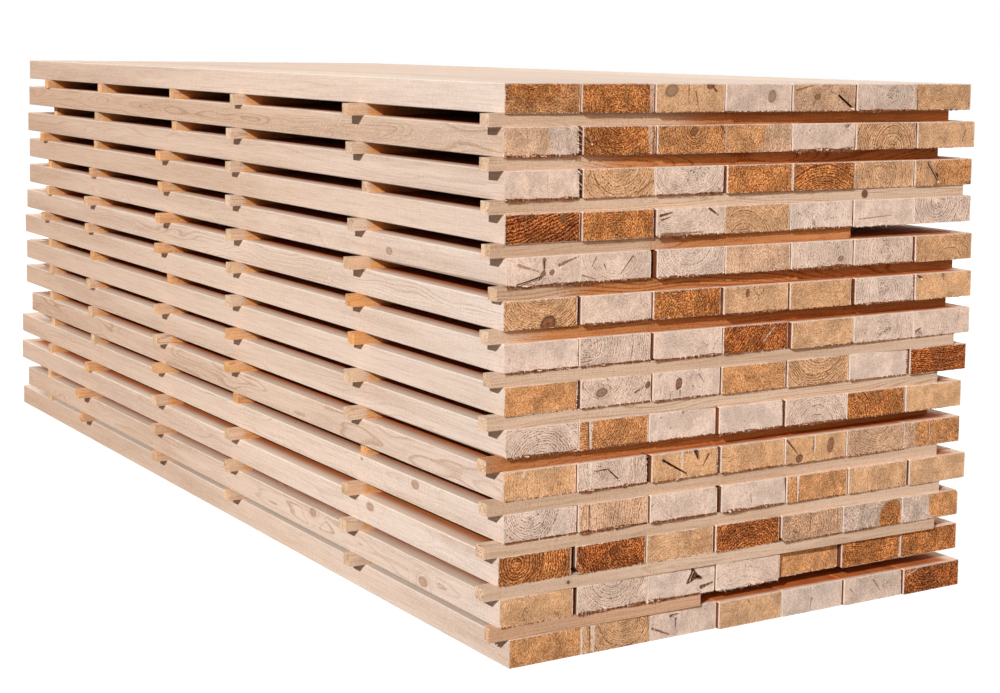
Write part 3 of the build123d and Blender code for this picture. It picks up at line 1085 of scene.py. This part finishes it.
# Where the pale fibres of one board hang, as (root, length, direction): under its end, at
# its right-hand edge and a few short ones along the top
def fibre_places(row, number, a, b, luck):
    pick = luck.uniform
    below, beside = torn(row, number)
    places = []
    # The more torn an edge is, the more fibres hang there
    for _ in range(16 + 28 * below):
        x = pick(a.x + 0.003, b.x - 0.003)
        if clump_at(row, x, a.z) < pick(-0.3, 0.5) and below < 7:
            continue
        long = pick(0.0018, 0.0036 + 0.0006 * below)
        if luck.random() < 0.08:
            long *= 1.8
        root = Vector((x, end_at(a, b, x) + ROOT_DEPTH, a.z + pick(0.0006, 0.002)))
        places.append((root, long, Vector((pick(-0.5, 0.6), pick(-1.0, -0.1), -1.0))))
    for _ in range(2 + 9 * beside):
        z = pick(a.z + 0.003, b.z - 0.003)
        root = Vector((b.x - 0.0012, a.y + END_SKEW + 0.0014, z))
        long = pick(0.001, 0.0025 + 0.0006 * beside)
        places.append((root, long, Vector((1.0, pick(-0.6, 0.1), pick(-0.8, 0.4)))))
    for _ in range(2 + below + beside):
        x = pick(a.x + 0.004, b.x - 0.004)
        root = Vector((x, end_at(a, b, x) + ROOT_DEPTH, b.z - 0.0016))
        places.append((root, pick(0.001, 0.0025), Vector((pick(-0.8, 0.8), -0.25, 1.0))))
    return places


# The long splinters that were torn loose and hang from an end, as (row, board): (across,
# up, then how far its tip lies to the right and up, and how wide it is, in millimetres)
LONG_SPLINTERS = {
    (2, 1): ((.985, .88, 20, -15, 3.4), (.99, .7, 26, -17, 3.0),
             (.985, .42, 13, -5, 2.6), (.985, .2, 9, -3, 2.4)),
    (3, 1): ((.99, .85, 9, -6, 3.2), (.985, .52, 12, -11, 3.2), (.985, .34, 11, -3, 4.0)),
    (10, 1): ((.27, .8, 4, 9, 1.6),),
    (10, 3): ((.38, .02, 9, 3, 3.2), (.41, .07, 11, -2, 3.0)),
    (12, 2): ((.05, .3, 9, -13, 2.2), (.16, .02, 12, 2, 2.0)),
}


def splinter_places(row, number, a, b):
    places = []
    for across, up, right, rise, wide in LONG_SPLINTERS.get((row, number), ()):
        front = max(a.y - 0.0008, cad_box[0][1] + 0.003)
        root = Vector((a.x + across * (b.x - a.x), front, a.z + up * BOARD_THICKNESS))
        way = Vector((right, -1.0, rise))
        places.append((root, way.length / MM, way, wide / MM))
    return places


# The torn fibres of one row, joined in one mesh. One that would reach out of the box of the
# stack is left out.
def torn_fibres(row, boxes, pattern, sticker_front):
    luck = draws("fibres", row)
    spots = [v.co.copy() for v in pattern.data.vertices]
    faces = [tuple(p.vertices) for p in pattern.data.polygons]
    points, sides, shades = [], [], []
    low, high = cad_box
    for number, (a, b) in enumerate(boxes, 1):
        hanging = [(*place, luck.uniform(*PALE_WIDTHS)) for place in fibre_places(row, number, a, b, luck)]
        hanging += splinter_places(row, number, a, b)
        pale = len(hanging)
        # Dark fibres behind the pale ones, as painted shadow under the end
        hanging += dark_fibre_places(row, number, a, b, luck, sticker_front)
        for order, (root, long, way, wide) in enumerate(hanging):
            spin = luck.uniform(0, 6.28) if order < pale else 0.0
            turn = way.to_track_quat("Z", "Y").to_matrix().to_4x4() @ Matrix.Rotation(spin, 4, "Z")
            size = Matrix.Diagonal((wide, wide * luck.uniform(0.3, 0.5), long, 1.0))
            place = Matrix.Translation(root) @ turn @ size
            moved = [place @ p for p in spots]
            if any(p[k] < low[k] or p[k] > high[k] for p in moved for k in range(3)):
                continue
            start = len(points)
            points.extend(moved)
            sides.extend(tuple(i + start for i in face) for face in faces)
            shades.extend(int(order >= pale) for _ in faces)
    mesh = bpy.data.meshes.new(f"torn_fibres_{row:02d}")
    mesh.from_pydata(points, [], sides)
    thing = placed(mesh.name, mesh)
    coated(thing, (torn_wood, painted_shadow_fibres))
    for face, shade in zip(mesh.polygons, shades):
        face.material_index = shade
    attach(thing, "root")


pattern = one_fibre()
row_boxes = {}
for row in range(1, ROWS + 1):
    row_boxes[row] = dress_boards(row, row_boxes.get(row - 1, []))
sticker_fronts = {}
for gap in range(1, ROWS):
    below = row_boxes[gap + 1]
    sticker_fronts[gap] = dress_stickers(gap, (below[0][0].x, below[-1][1].x))
for row, boxes in row_boxes.items():
    torn_fibres(row, boxes, pattern, sticker_fronts.get(row))
bpy.data.objects.remove(pattern)

# What the floor gives back, and the colours and strengths of the sky and the lamps
WHITE = (1.0, 1.0, 1.0, 1.0)
FLOOR_SHADE = (0.35, 0.35, 0.35, 1.0)
FLOOR_GLOW = 0.86
FLOOR_BOUNCE = (0.24, 0.22, 0.2, 1.0)
SKY_WARMTH = (1.0, 0.84, 0.7, 1.0)
SKY_LIGHT = 0.06
SUN_COLOUR = (0.97, 1.0, 1.04)
SUN_ANGLE = math.radians(0.9)
AMBER = (1.0, 0.62, 0.38)
SOFT_WHITE = (1.0, 0.97, 0.94)
LAMP_SIZE = 3.0


# One shader for what is seen, also in a mirror or through glass, and another for the light
def apart(tree, unseen, seen, out_kind):
    path = put(tree, "ShaderNodeLightPath").outputs
    names = ("Is Camera Ray", "Is Glossy Ray", "Is Transmission Ray")
    camera, mirror, glass = (Worked(tree, path[name]) for name in names)
    is_seen = greater(greater(camera, mirror), glass)
    put(tree, out_kind, {0: work("ShaderNodeMixShader", {0: is_seen, 1: unseen, 2: seen})})


# The floor, white to the eye and keeping the stack's shadow
def white_floor():
    bpy.ops.object.select_all(action="DESELECT")
    bpy.ops.mesh.primitive_plane_add(size=60.0, location=(0, 0, -0.0005))
    floor = bpy.context.object
    floor.name = "floor"
    material, tree = new_material("white floor")
    shaded = result(tree, "ShaderNodeBsdfDiffuse", {"Color": FLOOR_SHADE})
    glow = result(tree, "ShaderNodeEmission", {"Color": WHITE, "Strength": FLOOR_GLOW})
    bounce = result(tree, "ShaderNodeBsdfDiffuse", {"Color": FLOOR_BOUNCE})
    apart(tree, bounce, work("ShaderNodeAddShader", {0: shaded, 1: glow}), "ShaderNodeOutputMaterial")
    floor.data.materials.append(material)


def pale_world():
    world = bpy.data.worlds.new("studio")
    bpy.context.scene.world = world
    world.use_nodes = True
    tree = world.node_tree
    tree.nodes.clear()
    soft = result(tree, "ShaderNodeBackground", {"Color": SKY_WARMTH, "Strength": SKY_LIGHT})
    white = result(tree, "ShaderNodeBackground", {"Color": WHITE, "Strength": 1.0})
    apart(tree, soft, white, "ShaderNodeOutputWorld")


def add_light(name, kind, place, towards, energy, **settings):
    data = bpy.data.lights.new(name, kind)
    data.energy = energy
    for key, value in settings.items():
        setattr(data, key, value)
    lamp = placed(name, data)
    lamp.location = place
    lamp.rotation_euler = (Vector(towards) - Vector(place)).to_track_quat("-Z", "Y").to_euler()


# A soft lamp, aimed at a place in the stack
def soft_lamp(name, place, towards, energy, colour=SOFT_WHITE):
    add_light(name, "AREA", place, towards, energy, size=LAMP_SIZE, color=colour)


white_floor()
pale_world()
add_light("low sun", "SUN", (-1.0, -0.68, 0.58), (0, 0, 0), 3.6, angle=SUN_ANGLE, color=SUN_COLOUR)
soft_lamp("soft front", (-1.4, -6.0, 2.0), (0, -1.2, 0.5), 90.0, AMBER)
soft_lamp("soft overhead", (0.0, 0.6, 5.0), (0, 0, 1.0), 40.0)
soft_lamp("soft right", (5.2, 1.0, 2.6), (0.5, 0, 0.5), 180.0)
soft_lamp("soft back", (-0.5, 6.6, 2.4), (0, 1.2, 0.5), 150.0)

# The camera, solved from the board edges of the photograph: its turn and tilts in degrees,
# where it stands, its lens as a share of the sensor's width, and how far that is shifted
CAMERA_TURN = (31.6, 5.17, 0.85)
CAMERA_PLACE = (-2.1458, -3.8886, 1.0486)
SENSOR = 36.0
LENS_SHARE = 1.8751
SHIFT_DOWN = -0.1323


def stack_camera():
    yaw, down, roll = (math.radians(angle) for angle in CAMERA_TURN)
    ahead = Vector((math.sin(yaw) * math.cos(down), math.cos(yaw) * math.cos(down), -math.sin(down)))
    level = Vector((math.cos(yaw), -math.sin(yaw), 0.0))
    up = level.cross(ahead)
    right = math.cos(roll) * level + math.sin(roll) * up
    top = math.cos(roll) * up - math.sin(roll) * level
    data = bpy.data.cameras.new("camera")
    data.sensor_width = SENSOR
    data.lens = SENSOR * LENS_SHARE
    data.shift_y = SHIFT_DOWN
    data.clip_end = 100.0
    camera = placed("camera", data)
    turn = Matrix((right, top, -ahead)).transposed().to_4x4()
    camera.matrix_world = Matrix.Translation(CAMERA_PLACE) @ turn
    bpy.context.scene.camera = camera


stack_camera()
bpy.context.scene.view_settings.view_transform = "Standard"
